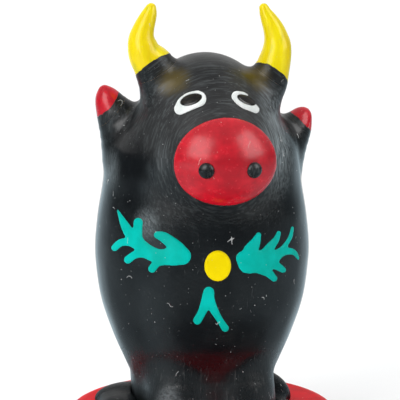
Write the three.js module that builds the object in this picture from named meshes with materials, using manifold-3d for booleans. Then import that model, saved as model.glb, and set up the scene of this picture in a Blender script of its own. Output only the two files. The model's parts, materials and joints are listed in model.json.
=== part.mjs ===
// A seated bull in the manner of a painted wood carving, 92 mm tall, on a turned base.
// Millimetres, +Z up. The origin is the middle of the underside of the felt; the bull looks along -Y.
// Left and right are the bull's own, so its left side is +X. Horns, ears and tail push into the body
// on dowels and pull straight off; the other pieces are glued, pinned or screwed.
import * as THREE from "three";
import { mergeVertices } from "three/addons/utils/BufferGeometryUtils.js";
import Module from "manifold-3d";

const wasm = await Module();
wasm.setup();

// Driving dimensions
const FELT_THICKNESS = 0.8;
const FELT_RADIUS = 23;
const BASE_RADIUS = 27.4;
const BASE_TOP = 7.5; // height of the face that the bull sits on
const BASE_ROUNDING = 3.5; // radius of the base's upper edge
const FOOT_ROUNDING = 2; // radius of the base's lower edge
const BELLY_WIDTH = 21.6; // half of the body's greatest width
const BODY_DEPTH = 0.93; // depth of the body's section over its width
const SEAM = 0.3; // gap between pieces that meet on a carved or slanted face
const FIT = 0.15; // radial gap of a dowel or screw in its hole

// Dowels: radius, how deep each sits in the body, and how far it reaches into its piece
const HORN_DOWEL = { radius: 1.5, inBody: 7, inPiece: 4 };
const EAR_DOWEL = { radius: 1.2, inBody: 5, inPiece: 2 };
const TAIL_DOWEL = { radius: 1.3, inBody: 6, inPiece: 4 };
const SNOUT_DOWEL = { radius: 2, inBody: 6, inPiece: 2 };
const LEG_DOWEL = { radius: 0.8, inBody: 5, inPiece: 3 };

const SCREW = { shankRadius: 1.5, headRadius: 3, headHeight: 1.7, length: 17, spacing: 13 };
// Half-width and half-height of the snout; its centre is on the flat that it is glued to
const SNOUT = { width: 10.2, height: 8.85, rim: 0.8, dome: 5.4, centre: [0.85, -20.6, 61.9] };
// Nostril studs: how far each is out from their middle, and where that middle is from the snout's.
// Their flat backs are sunk below the dome's face, and their own domes stand out from there.
const NOSTRIL = { radius: 1.6, pin: 0.8, pinLength: 2.4, out: 4.8, across: 0.2, up: -0.85 };
const STUD = { sunk: 0.35, dome: 1.2 };
const FORELEG = { across: [-5.6, 6.2], back: -8.2, height: 12, footRadius: 7.2, topRadius: 6.6 };
const SKULL = { centre: [0.3, -4, 65.8], radii: [13.8, 14.3, 14.4] };
// The muzzle is a round cone from inside the skull to the snout's flat
const MUZZLE = { root: 13.6, rootRadius: 13.2, endRadius: 10.9 };

const UP = new THREE.Vector3(0, 0, 1);
const DOWN = new THREE.Vector3(0, 0, -1);
const FRONT = new THREE.Vector3(0, -1, 0);
const BACK = new THREE.Vector3(0, 1, 0);
const vector = (x, y, z) => new THREE.Vector3(x, y, z);
const step = (from, direction, distance) => from.clone().addScaledVector(direction, distance);

// Paint
const PAINT = {
  black: { color: 0x16181a, roughness: 0.22, metalness: 0 },
  red: { color: 0xc01420, roughness: 0.3, metalness: 0 },
  yellow: { color: 0xf5dc00, roughness: 0.25, metalness: 0 },
  wood: { color: 0xc9a26b, roughness: 0.7, metalness: 0 },
  felt: { color: 0x20242a, roughness: 0.95, metalness: 0 },
  zinc: { color: 0xb8b9b4, roughness: 0.35, metalness: 1 },
};

// ---- solids: three.js makes the shapes, manifold-3d joins and cuts them ----

function solidOf(geometry) {
  const bare = geometry.clone();
  bare.deleteAttribute("normal");
  bare.deleteAttribute("uv");
  const merged = mergeVertices(bare, 1e-4);
  return new wasm.Manifold(
    new wasm.Mesh({
      numProp: 3,
      vertProperties: new Float32Array(merged.attributes.position.array),
      triVerts: new Uint32Array(merged.index.array),
    }),
  );
}

function geometryOf(solid) {
  const made = solid.getMesh();
  const geometry = new THREE.BufferGeometry();
  geometry.setAttribute("position", new THREE.BufferAttribute(new Float32Array(made.vertProperties), 3));
  geometry.setIndex(new THREE.BufferAttribute(new Uint32Array(made.triVerts), 1));
  geometry.computeVertexNormals();
  return geometry;
}

function ellipsoid(centre, radii, around = 20, down = 10) {
  const geometry = new THREE.SphereGeometry(1, around, down);
  geometry.rotateX(Math.PI / 2).scale(...radii).translate(...centre);
  return solidOf(geometry);
}

// A round bar from a point along a direction, its two radii at the start and at the end.
function bar(start, direction, length, radius, endRadius = radius, around = 16) {
  const along = direction.clone().normalize();
  const geometry = new THREE.CylinderGeometry(endRadius, radius, length, around);
  geometry.translate(0, length / 2, 0);
  geometry.applyQuaternion(new THREE.Quaternion().setFromUnitVectors(vector(0, 1, 0), along));
  geometry.translate(start.x, start.y, start.z);
  return solidOf(geometry);
}

// A large block whose one face passes through a point, on the side that its normal points to.
function blockBeyond(point, normal, size = 60) {
  const geometry = new THREE.BoxGeometry(size, size, size).translate(0, 0, size / 2);
  geometry.applyQuaternion(new THREE.Quaternion().setFromUnitVectors(UP, normal.clone().normalize()));
  geometry.translate(point.x, point.y, point.z);
  return solidOf(geometry);
}

// A turned piece: radius and height pairs, from the axis at the bottom to the axis at the top.
function turned(profile, around = 36) {
  const points = profile.map(([radius, height]) => new THREE.Vector2(radius, height));
  return solidOf(new THREE.LatheGeometry(points, around).rotateX(Math.PI / 2));
}

// A limb that tapers along a smooth curve. A section is [point, half-width, half-depth along Y].
function limb(sections, around = 14, rings = 12) {
  const line = new THREE.CatmullRomCurve3(sections.map(([point]) => point));
  const taper = new THREE.SplineCurve(sections.map(([, width, depth]) => new THREE.Vector2(width, depth)));
  const geometry = new THREE.CylinderGeometry(1, 1, 1, around, rings);
  const position = geometry.getAttribute("position");
  for (let i = 0; i < position.count; i++) {
    const share = position.getY(i) + 0.5;
    const centre = line.getPoint(share);
    const tangent = line.getTangent(share);
    const across = new THREE.Vector3(0, 1, 0).cross(tangent).normalize();
    const deep = tangent.clone().cross(across);
    const size = taper.getPoint(share);
    centre.addScaledVector(across, position.getX(i) * size.x);
    centre.addScaledVector(deep, -position.getZ(i) * size.y);
    position.setXYZ(i, centre.x, centre.y, centre.z);
  }
  const made = solidOf(geometry);
  return made.volume() < 0 ? solidOf(geometry.scale(1, -1, 1)) : made;
}

// ---- where the pieces that pull off meet the body: [seat, direction they pull in] ----

const HORNS = {
  right: {
    seat: vector(-10.1, -6, 77.3),
    pull: vector(-0.51, 0, 0.86).normalize(),
    seatRadius: 4.0,
    line: [
      [vector(-12.8, -6, 82.1), 3.2],
      [vector(-12.9, -6, 85.8), 2.25],
      [vector(-11.9, -6, 88.8), 1.6],
      [vector(-11.2, -6, 91.4), 0.8],
    ],
  },
  left: {
    seat: vector(12.7, -6, 75.1),
    pull: vector(0.6, 0, 0.8).normalize(),
    seatRadius: 3.8,
    line: [
      [vector(14.1, -6, 80.0), 3.15],
      [vector(13.9, -6, 83.9), 2.35],
      [vector(12.4, -6, 87.4), 1.6],
      [vector(11.3, -6, 90.6), 0.7],
    ],
  },
};

const EARS = {
  right: {
    seat: vector(-17.3, 1, 67.6),
    pull: vector(-0.74, 0, 0.67).normalize(),
    seatRadii: [4.3, 4.2],
    line: [
      [vector(-18.8, 1, 69.9), 3.0, 3.3],
      [vector(-19.6, 1, 73.3), 1.1, 1.2],
    ],
  },
  left: {
    seat: vector(18.6, 1, 63.8),
    pull: vector(0.69, 0, 0.72).normalize(),
    seatRadii: [3.6, 4.0],
    line: [
      [vector(20.1, 1, 65.2), 2.6, 3.0],
      [vector(21.2, 1, 67.1), 1.1, 1.2],
    ],
  },
};

const TAIL = {
  seat: vector(0, 18.3, 15.2),
  pull: vector(0, 0.95, 0.31).normalize(),
  seatRadius: 2.6,
  line: [
    [vector(0, 21.8, 16.8), 2.3],
    [vector(0.4, 24.6, 21.5), 1.8],
    [vector(1.4, 25.2, 29.0), 1.6],
    [vector(3.0, 24.7, 34.5), 2.6],
    [vector(4.3, 24.4, 38.8), 2.1],
    [vector(5.1, 24.6, 42.0), 0.6],
  ],
};

// Hind legs lie folded along the base: a low thigh at the back and a foot that points forward.
const HIND_LEGS = {
  right: { thigh: [[-12.6, 6, BASE_TOP], [8.4, 10, 3]], foot: [[-17.4, -6, BASE_TOP], [4.8, 11, 3.4]] },
  left: { thigh: [[11.5, 5, BASE_TOP], [8, 10, 5.4]], foot: [[12.8, -9, BASE_TOP], [5.4, 9, 2.5]] },
};
const LEG_DOWEL_SEAT = { out: 12.6, back: 6, height: BASE_TOP + 1.3 };
const SIDE = { right: -1, left: 1 };

// A dowel's own bar, and the hole that takes it.
function dowelAt({ seat, pull }, { radius, inBody, inPiece }) {
  return bar(step(seat, pull, -inBody), pull, inBody + inPiece, radius, radius, 12);
}
function holeAt({ seat, pull }, { radius, inBody, inPiece }) {
  const length = inBody + inPiece + 2 * SEAM;
  return bar(step(seat, pull, -inBody - SEAM), pull, length, radius + FIT, radius + FIT, 12);
}

const belowBase = () => blockBeyond(vector(0, 0, BASE_TOP), DOWN);

// ---- the body: torso, forelegs, head and muzzle carved from one block ----

function torso() {
  const w = BELLY_WIDTH;
  const outline = new THREE.SplineCurve([
    new THREE.Vector2(13.7, BASE_TOP),
    new THREE.Vector2(14.2, 13.5),
    new THREE.Vector2(17.7, 23),
    new THREE.Vector2(0.97 * w, 32),
    new THREE.Vector2(w, 41),
    new THREE.Vector2(0.94 * w, 52),
    new THREE.Vector2(0.92 * w, 60),
    new THREE.Vector2(0.8 * w, 66),
    new THREE.Vector2(0.45 * w, 70.5),
  ]).getPoints(16);
  const profile = [[0, BASE_TOP], ...outline.map((p) => [p.x, p.y]), [0, 72]];
  return turned(profile, 36).scale([1, BODY_DEPTH, 1]);
}

function head() {
  const skull = ellipsoid(SKULL.centre, SKULL.radii, 28, 16);
  const root = step(vector(...SNOUT.centre), BACK, MUZZLE.root);
  const muzzle = bar(root, FRONT, MUZZLE.root, MUZZLE.rootRadius, MUZZLE.endRadius, 28);
  return skull.add(muzzle);
}

function hornBoss({ seat, pull, seatRadius }) {
  return bar(step(seat, pull, -6), pull, 6, seatRadius + 1.4, seatRadius);
}

function earBoss({ seat, pull, seatRadii }) {
  const root = step(seat, pull, -7);
  root.z -= 2;
  const [width, depth] = seatRadii;
  const sections = [
    [root, width + 2, depth + 2],
    [step(seat, pull, -3), width + 0.9, depth + 0.9],
    [seat, width, depth],
  ];
  return limb(sections, 14, 4).subtract(blockBeyond(seat, pull));
}

// Clears the body in front of a seat, so that its piece lands on a flat.
function seatClearance({ seat, pull, seatRadius, seatRadii }) {
  const radius = 0.6 + (seatRadius ?? Math.max(...seatRadii));
  return bar(seat, pull, 6, radius);
}

// The forelegs stand forward of the torso, which narrows towards the base.
function forelegs() {
  const { across, back, height, footRadius, topRadius } = FORELEG;
  const [right, left] = across.map((x) => {
    const foot = vector(x, back, BASE_TOP);
    return bar(foot, UP, height, footRadius, topRadius, 28);
  });
  return right.add(left);
}

function forehooves() {
  const one = (x) => ellipsoid([x, -13, BASE_TOP], [6.4, 5.6, 3.6]);
  return one(-6.8).add(one(6.8)).subtract(belowBase());
}

// The groove that parts the two forelegs.
function legGroove() {
  return bar(vector(0, -14.8, BASE_TOP - 1), vector(0, -0.12, 1), 14, 2.4, 0.5);
}

function screwHole(x) {
  const start = vector(x, 0, FELT_THICKNESS - 1);
  const shank = bar(start, UP, SCREW.length + 2, SCREW.shankRadius + FIT);
  const recess = bar(start, UP, 1 + SCREW.headHeight + SEAM, SCREW.headRadius + SEAM);
  return shank.add(recess);
}

const snoutSeat = { seat: vector(...SNOUT.centre), pull: FRONT };
const screwPlaces = [-SCREW.spacing / 2, SCREW.spacing / 2];
function legDowelSeat(side) {
  const { out, back, height } = LEG_DOWEL_SEAT;
  return { seat: vector(SIDE[side] * out, back, height), pull: vector(SIDE[side], 0, 0) };
}

function bodyShape() {
  const rump = ellipsoid([0, 6.5, 13], [12.6, 11, 9.5]).subtract(belowBase());
  let body = torso().add(head()).add(rump).add(forelegs()).add(forehooves());
  for (const side of ["right", "left"]) {
    body = body.add(hornBoss(HORNS[side])).add(earBoss(EARS[side]));
  }
  body = body.add(bar(step(TAIL.seat, TAIL.pull, -6), TAIL.pull, 6, TAIL.seatRadius + 1.2, TAIL.seatRadius));
  for (const joint of [HORNS.right, HORNS.left, EARS.right, EARS.left, TAIL]) {
    body = body.subtract(seatClearance(joint));
  }
  return body.subtract(blockBeyond(snoutSeat.seat, FRONT)).subtract(legGroove());
}

function bodyBlock() {
  let body = bodyShape();
  for (const side of ["right", "left"]) {
    body = body.subtract(holeAt(HORNS[side], HORN_DOWEL)).subtract(holeAt(EARS[side], EAR_DOWEL));
    body = body.subtract(holeAt(legDowelSeat(side), LEG_DOWEL));
  }
  body = body.subtract(holeAt(TAIL, TAIL_DOWEL)).subtract(holeAt(snoutSeat, SNOUT_DOWEL));
  for (const x of screwPlaces) body = body.subtract(screwHole(x));
  return body;
}

// ---- pieces that pull off ----

function horn({ seat, pull, seatRadius, line }) {
  const start = step(seat, pull, SEAM);
  const sections = [
    [start, seatRadius, seatRadius],
    [step(seat, pull, 2.6), seatRadius * 0.92, seatRadius * 0.92],
    ...line.map(([point, radius]) => [point, radius, radius]),
  ];
  const blocked = blockBeyond(start, pull.clone().negate());
  return limb(sections, 14, 14).subtract(blocked).subtract(holeAt({ seat, pull }, HORN_DOWEL));
}

function ear({ seat, pull, seatRadii, line }) {
  const start = step(seat, pull, SEAM);
  const blocked = blockBeyond(start, pull.clone().negate());
  const shape = limb([[start, ...seatRadii], ...line], 14, 8);
  return shape.subtract(blocked).subtract(holeAt({ seat, pull }, EAR_DOWEL));
}

function tail({ seat, pull, seatRadius, line }) {
  const start = step(seat, pull, SEAM);
  const sections = [
    [start, seatRadius, seatRadius],
    ...line.map(([point, radius]) => [point, radius, radius]),
  ];
  const blocked = blockBeyond(start, pull.clone().negate());
  return limb(sections, 12, 18).subtract(blocked).subtract(holeAt({ seat, pull }, TAIL_DOWEL));
}

// ---- fixed pieces ----

// The snout disc: a short oval rim with a shallow dome in front, its back on the muzzle's flat.
function snoutDisc() {
  const { width, height, rim, dome, centre } = SNOUT;
  const profile = [[0, 0], [1, 0], [1, rim]];
  const domeSteps = 6;
  for (let i = 1; i <= domeSteps; i++) {
    const angle = (i / domeSteps) * (Math.PI / 2);
    profile.push([Math.cos(angle), rim + dome * Math.sin(angle)]);
  }
  profile[profile.length - 1][0] = 0;
  const points = profile.map(([radius, out]) => new THREE.Vector2(radius, out));
  const geometry = new THREE.LatheGeometry(points, 32).rotateX(Math.PI);
  geometry.scale(width, 1, height).translate(centre[0], centre[1] - SEAM, centre[2]);
  return solidOf(geometry);
}

// How far in front of its seat the snout's dome stands at a point of the disc.
function domeOut(x, z) {
  const share = Math.hypot(x / SNOUT.width, z / SNOUT.height);
  return SEAM + SNOUT.rim + SNOUT.dome * Math.sqrt(1 - share * share);
}

function nostrilPlace(side) {
  const x = NOSTRIL.across + SIDE[side] * NOSTRIL.out;
  const [middle, seat, height] = SNOUT.centre;
  return vector(middle + x, seat - domeOut(x, NOSTRIL.up) + STUD.sunk, height + NOSTRIL.up);
}

function nostrilStud(side) {
  const place = nostrilPlace(side);
  const { radius, pin, pinLength } = NOSTRIL;
  const ball = ellipsoid(place.toArray(), [radius, STUD.dome, radius], 18, 10);
  return ball.subtract(blockBeyond(place, BACK)).add(bar(place, BACK, pinLength, pin, pin, 12));
}

// A hole for the pin, with a wider recess that seats the stud's head just under the dome's face.
function nostrilHole(side) {
  const past = 3; // how far the cut starts in front of the face
  const mouth = step(nostrilPlace(side), FRONT, past);
  const pinHole = NOSTRIL.pin + FIT;
  const recess = NOSTRIL.radius + FIT;
  const hole = bar(mouth, BACK, past + NOSTRIL.pinLength + 0.2, pinHole, pinHole, 14);
  return hole.add(bar(mouth, BACK, past + SEAM, recess, recess, 18));
}

function snout() {
  let disc = snoutDisc().subtract(holeAt(snoutSeat, SNOUT_DOWEL));
  for (const side of ["right", "left"]) disc = disc.subtract(nostrilHole(side));
  return disc;
}

// A hind leg fits round the body: the body, a little larger, is cut out of it.
function hindLeg(side) {
  const { thigh, foot } = HIND_LEGS[side];
  const shape = ellipsoid(...thigh, 22, 12).add(ellipsoid(...foot, 22, 12)).subtract(belowBase());
  const bodyRadiusHere = 14;
  const grown = bodyShape().scale([1 + SEAM / bodyRadiusHere, 1 + SEAM / bodyRadiusHere, 1]);
  return largest(shape.subtract(grown)).subtract(holeAt(legDowelSeat(side), LEG_DOWEL));
}

// The largest of the separate lumps that a cut leaves.
function largest(solid) {
  return solid.decompose().reduce((a, b) => (a.volume() > b.volume() ? a : b));
}

// Points of a quarter round in a turned profile, from one angle to another.
function roundedEdge(radius, height, rounding, from, to, steps) {
  return Array.from({ length: steps + 1 }, (_, i) => {
    const angle = from + ((to - from) * i) / steps;
    return [radius + rounding * Math.cos(angle), height + rounding * Math.sin(angle)];
  });
}

function base() {
  const quarter = Math.PI / 2;
  const footHeight = FELT_THICKNESS + FOOT_ROUNDING;
  const profile = [
    [0, FELT_THICKNESS],
    ...roundedEdge(BASE_RADIUS - FOOT_ROUNDING, footHeight, FOOT_ROUNDING, -quarter, 0, 3),
    ...roundedEdge(BASE_RADIUS - BASE_ROUNDING, BASE_TOP - BASE_ROUNDING, BASE_ROUNDING, 0, quarter, 4),
    [0, BASE_TOP],
  ];
  let made = turned(profile, 44);
  for (const x of screwPlaces) made = made.subtract(screwHole(x));
  return made;
}

function felt() {
  return turned([[0, 0], [FELT_RADIUS, 0], [FELT_RADIUS, FELT_THICKNESS], [0, FELT_THICKNESS]], 48);
}

// A countersunk screw from under the base up into the body.
function screw(x) {
  const start = vector(x, 0, FELT_THICKNESS + 0.2);
  const shaft = bar(start, UP, SCREW.length, SCREW.shankRadius, 0.9, 14);
  const headPart = bar(start, UP, SCREW.headHeight, SCREW.headRadius, SCREW.shankRadius, 18);
  const slot = solidOf(new THREE.BoxGeometry(2 * SCREW.headRadius + 1, 0.8, 1).translate(x, 0, start.z));
  return shaft.add(headPart).subtract(slot);
}

// ---- the assembly ----

const bull = new THREE.Group();
const materials = Object.fromEntries(
  Object.entries(PAINT).map(([name, look]) => [name, new THREE.MeshStandardMaterial(look)]),
);

function place(name, solid, paint) {
  const mesh = new THREE.Mesh(geometryOf(solid), materials[paint]);
  mesh.name = name;
  bull.add(mesh);
}

place("felt_pad", felt(), "felt");
place("base_disc", base(), "red");
place("body_block", bodyBlock(), "black");
place("snout_disc", snout(), "red");
place("snout_dowel", dowelAt(snoutSeat, SNOUT_DOWEL), "wood");
place("tail", tail(TAIL), "black");
place("tail_dowel", dowelAt(TAIL, TAIL_DOWEL), "wood");
for (const side of ["right", "left"]) {
  place(`${side}_horn`, horn(HORNS[side]), "yellow");
  place(`${side}_horn_dowel`, dowelAt(HORNS[side], HORN_DOWEL), "wood");
  place(`${side}_ear`, ear(EARS[side]), "red");
  place(`${side}_ear_dowel`, dowelAt(EARS[side], EAR_DOWEL), "wood");
  place(`${side}_nostril_stud`, nostrilStud(side), "black");
  place(`${side}_hind_leg`, hindLeg(side), "black");
  place(`${side}_leg_dowel`, dowelAt(legDowelSeat(side), LEG_DOWEL), "wood");
}
place("right_base_screw", screw(screwPlaces[0]), "zinc");
place("left_base_screw", screw(screwPlaces[1]), "zinc");

export default bull;
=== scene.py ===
"""Looks for a small carved bull: black lacquer over wood, yellow horns, red snout, raised enamel.

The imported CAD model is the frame. Shapes are worked out in millimetres and turned into metres when
a mesh is made. The bull looks along -Y; left and right are its own, so its left side is +X.
"""
import json
import math

import bmesh
import bpy
import numpy as np
from mathutils import Matrix, Vector


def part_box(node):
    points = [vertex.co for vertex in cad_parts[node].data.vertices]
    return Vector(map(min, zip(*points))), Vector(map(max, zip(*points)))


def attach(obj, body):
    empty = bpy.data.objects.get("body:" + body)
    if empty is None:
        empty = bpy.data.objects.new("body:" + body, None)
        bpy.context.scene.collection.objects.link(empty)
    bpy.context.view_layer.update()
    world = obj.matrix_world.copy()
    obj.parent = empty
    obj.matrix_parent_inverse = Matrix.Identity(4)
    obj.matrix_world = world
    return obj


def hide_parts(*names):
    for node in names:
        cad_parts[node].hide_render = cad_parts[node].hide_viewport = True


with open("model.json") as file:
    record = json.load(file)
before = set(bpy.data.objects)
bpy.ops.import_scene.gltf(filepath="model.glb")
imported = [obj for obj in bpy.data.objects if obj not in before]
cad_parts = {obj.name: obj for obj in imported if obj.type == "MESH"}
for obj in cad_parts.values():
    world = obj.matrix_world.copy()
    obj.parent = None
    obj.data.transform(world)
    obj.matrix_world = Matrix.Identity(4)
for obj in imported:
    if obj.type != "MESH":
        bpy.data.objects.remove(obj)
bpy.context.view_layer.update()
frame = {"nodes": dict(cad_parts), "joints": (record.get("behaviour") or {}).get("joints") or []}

MM = 0.001
UP = np.array([0.0, 0.0, 1.0])
FRONT = np.array([0.0, -1.0, 0.0])
LEFT = np.array([1.0, 0.0, 0.0])


# ---- what the frame gives ----

def box_mm(node):
    """The lowest and highest corners of a CAD node, in millimetres."""
    low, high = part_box(node)
    return np.array(low) / MM, np.array(high) / MM


def middle(node):
    low, high = box_mm(node)
    return (low + high) / 2


# How much further a dowel sits in the body than in its piece, halved.
DOWEL_SHIFT = {"horn": 1.5, "ear": 1.5, "tail": 1.0}
DOWEL_RADIUS = {"horn": 1.5, "ear": 1.2, "tail": 1.3}
LEG_DOWEL_RADIUS = 0.8
DOWEL_IN_BODY = {"horn": 7.0, "ear": 5.0, "tail": 6.0}


def pulled_piece(name):
    """Where a piece that pulls off meets the body, and the way it pulls, from its joint and dowel."""
    kind = name.split("_")[-1]
    joint = next(j for j in frame["joints"] if j["child"] == name + "_piece")
    pull = np.array(joint["axis"], float)
    pull /= np.linalg.norm(pull)
    return {
        "name": name,
        "kind": kind,
        "pull": pull,
        "seat": middle(name + "_dowel") + DOWEL_SHIFT[kind] * pull,
    }


PULLED = {name: pulled_piece(name) for name in ("right_horn", "left_horn", "right_ear", "left_ear", "tail")}
BASE_LOW, BASE_HIGH = box_mm("base_disc")
BASE_TOP = BASE_HIGH[2]
BODY_LOW, BODY_HIGH = box_mm("body_block")
BODY_HALF_WIDTH = BODY_HIGH[0]
MUZZLE_END = BODY_LOW[1]
SNOUT_LOW, SNOUT_HIGH = box_mm("snout_disc")
SNOUT_CENTRE = (SNOUT_LOW + SNOUT_HIGH) / 2


def over_base(x, y, height):
    """A place from its height over the base's top."""
    return np.array([x, y, BASE_TOP + height])


# ---- fields: negative inside, positive outside, about one per millimetre ----

def smooth_union(a, b, blend):
    overlap = np.maximum(blend - np.abs(a - b), 0.0) / blend
    return np.minimum(a, b) - overlap * overlap * blend / 4


def smooth_cut(a, b, blend):
    """What is left of a after b is taken away, with a rounded edge."""
    return -smooth_union(-a, b, blend)


def ellipsoid(p, centre, radii):
    scaled = (p - np.array(centre)) / np.array(radii)
    reach = np.linalg.norm(scaled, axis=-1)
    slope = np.linalg.norm(scaled / np.array(radii), axis=-1)
    return reach * (reach - 1) / np.maximum(slope, 1e-6)


def smooth_line(points, steps):
    """Points along a smooth curve through the given ones (Catmull-Rom)."""
    pts = np.array(points, float)
    pts = np.vstack([2 * pts[0] - pts[1], pts, 2 * pts[-1] - pts[-2]])
    out = []
    for a, b, c, d in zip(pts[:-3], pts[1:-2], pts[2:-1], pts[3:]):
        for t in np.arange(steps) / steps:
            out.append(0.5 * (2 * b + (c - a) * t + (2 * a - 5 * b + 4 * c - d) * t**2
                              + (3 * b - a - 3 * c + d) * t**3))
    out.append(pts[-2])
    return np.array(out)


FAR = 1e3  # stands for any distance too great to matter
LIMB_REACH = 5.0  # how far from a limb its distance still matters to its neighbours


def limb(p, sections, steps=4):
    """A round limb that tapers along a smooth curve. Each section is a point and its radius."""
    line = smooth_line(sections, steps) if steps > 1 else np.array(sections, float)
    reach = line[:, -1].max() + LIMB_REACH
    close = np.all((p > line[:, :-1].min(0) - reach) & (p < line[:, :-1].max(0) + reach), axis=-1)
    distance = np.full(p.shape[:-1], FAR)
    if not close.any():
        return distance
    q = p[close]
    nearest = np.full(len(q), FAR)
    for a, b in zip(line[:-1], line[1:]):
        along = b[:-1] - a[:-1]
        share = np.clip(((q - a[:-1]) @ along) / max(along @ along, 1e-9), 0, 1)
        gap = q - a[:-1] - share[..., None] * along
        nearest = np.minimum(nearest, np.sqrt((gap * gap).sum(-1)) - a[-1] - share * (b[-1] - a[-1]))
    distance[close] = nearest
    return distance


# ---- the carved bull ----

TORSO_DEPTH = 0.93
# Height over the base's top, and half-width as a share of the body's greatest half-width.
TORSO = [(-6, 0.638), (0, 0.638), (6, 0.655), (9.5, 0.713), (16, 0.843), (22.5, 0.941), (29, 0.986),
         (33.5, 0.995), (39.5, 0.97), (45.5, 0.927), (50.5, 0.903), (54.5, 0.868), (58.5, 0.765),
         (61.5, 0.579), (63.6, 0.275)]


def torso_table():
    """The square of the half-width at each height. Above the last section it falls below zero."""
    heights = np.array([BASE_TOP + h for h, _ in TORSO])
    areas = np.array([(share * BODY_HALF_WIDTH) ** 2 for _, share in TORSO])
    curve = smooth_line(np.column_stack([heights, areas]), 12)
    top = heights[-1] + 1.2
    return np.append(curve[:, 0], [top, top + 30]), np.append(curve[:, 1], [-30, -2500])


TORSO_HEIGHTS, TORSO_AREAS = torso_table()
LEAST_SLOPE = 8.0  # keeps the torso's field finite on its axis


def torso(p):
    x, y, z = p[..., 0], p[..., 1] / TORSO_DEPTH, p[..., 2]
    area = np.interp(z, TORSO_HEIGHTS, TORSO_AREAS)
    step = 0.4
    slope = (np.interp(z + step, TORSO_HEIGHTS, TORSO_AREAS)
             - np.interp(z - step, TORSO_HEIGHTS, TORSO_AREAS)) / (2 * step)
    steepness = np.sqrt(4 * x * x + 4 * (y / TORSO_DEPTH) ** 2 + slope * slope)
    return (x * x + y * y - area) / np.maximum(steepness, LEAST_SLOPE)


def from_seat(piece, points):
    """Moves sections given from a piece's seat (along X, Y and Z, and a radius) into the row frame."""
    seat = PULLED[piece]["seat"]
    return [(seat[0] + x, seat[1] + y, seat[2] + z, r) for x, y, z, r in points]


HORN_LINES = {
    "right_horn": from_seat("right_horn", [
        (1.9, 0.6, -3.9, 5.0), (-0.5, 0.2, 1.0, 4.1), (-2.1, 0, 3.0, 3.4), (-2.75, 0, 4.6, 3.1),
        (-3.15, 0, 6.6, 2.6), (-2.75, 0, 8.6, 2.15), (-2.15, 0, 10.25, 1.85), (-1.55, 0, 11.75, 1.5),
        (-1.2, 0, 12.9, 1.05)]),
    "left_horn": from_seat("left_horn", [
        (-2.7, 0.6, -3.7, 4.9), (-0.6, 0.3, -0.8, 4.05), (0.35, 0.1, 1.7, 3.5), (0.85, 0, 3.35, 3.25),
        (1.25, 0, 5.0, 3.0), (1.43, 0, 6.7, 2.75), (1.2, 0, 8.4, 2.38), (0.6, 0, 10.3, 2.03),
        (-0.25, 0, 12.05, 1.63), (-0.85, 0, 13.2, 1.28), (-1.3, 0, 14.4, 0.95)]),
}
EAR_LINES = {
    "right_ear": from_seat("right_ear", [
        (2.8, 0, -7.5, 5.3), (0.35, 0, -0.7, 4.0), (-0.55, 0, 1.0, 3.4), (-1.55, 0, 3.0, 2.55),
        (-2.2, 0, 4.65, 1.35)]),
    "left_ear": from_seat("left_ear", [
        (-2.7, 0, -6.5, 4.7), (0.25, 0, -1.0, 3.4), (1.2, 0, 0.8, 2.7), (1.85, 0, 1.85, 2.05),
        (2.4, 0, 2.5, 1.3)]),
}


def head(p):
    skull = ellipsoid(p, over_base(-0.05, -4, 58.1), (13.35, 14.2, 14.75))
    root = (0.3, -7, SNOUT_CENTRE[2] + 1.2, 12.5)
    tip = (SNOUT_CENTRE[0] - 0.1, MUZZLE_END + 9.2, SNOUT_CENTRE[2] + 0.2, 10.7)
    muzzle = limb(p, [root, tip], steps=1)
    return smooth_union(skull, muzzle, 5.0)


def rump(p):
    return ellipsoid(p, over_base(0, 6.8, 5), (12.6, 11.2, 9.6))


def forelegs(p):
    """Two upright legs that come forward of the narrowing torso, and their toes."""
    legs = [limb(p, [(x, -8.2, BASE_TOP - 8, 7.2), (x, -8.2, BASE_TOP + 3, 7.2),
                     (x, -7.2, BASE_TOP + 8, 6.5)]) for x in (-5.6, 6.2)]
    toes = [ellipsoid(p, (side * 6.7, -13.2, BASE_TOP), (6.3, 5.4, 2.9)) for side in (-1, 1)]
    return smooth_union(smooth_union(*legs, 2.5), smooth_union(*toes, 0.8), 1.2)


def leg_groove(p):
    """What is carved away between the forelegs."""
    return limb(p, [(0.2, -16.2, BASE_TOP - 3, 2.5), (0.2, -16.8, BASE_TOP + 6, 1.7),
                    (0.2, -19.5, BASE_TOP + 13, 1.2)])


def tail_root(p):
    seat, pull = PULLED["tail"]["seat"], PULLED["tail"]["pull"]
    inner = seat - 5 * pull
    return limb(p, [(*inner, 4.2), (*(seat - 1.5 * pull), 3.0), (*(seat + 2 * pull), 2.45)], steps=2)


def tail_line():
    points = [(0, -0.6, -0.2, 2.6), (0, 3.6, 1.7, 2.2), (0.4, 6.3, 6.3, 1.75), (1.4, 6.9, 13.8, 1.5),
              (2.9, 6.4, 19.0, 2.4), (4.1, 6.1, 23.2, 2.2), (5.0, 6.3, 26.0, 0.9)]
    return from_seat("tail", points)


# How softly each part runs into the ones before it, in millimetres.
BLEND = {"head": 3.2, "ear": 2.2, "horn": 2.4, "rump": 4.0, "forelegs": 2.4, "leg_groove": 1.6,
         "tail_root": 2.0, "tail": 1.0, "muzzle_edge": 0.9}


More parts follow.
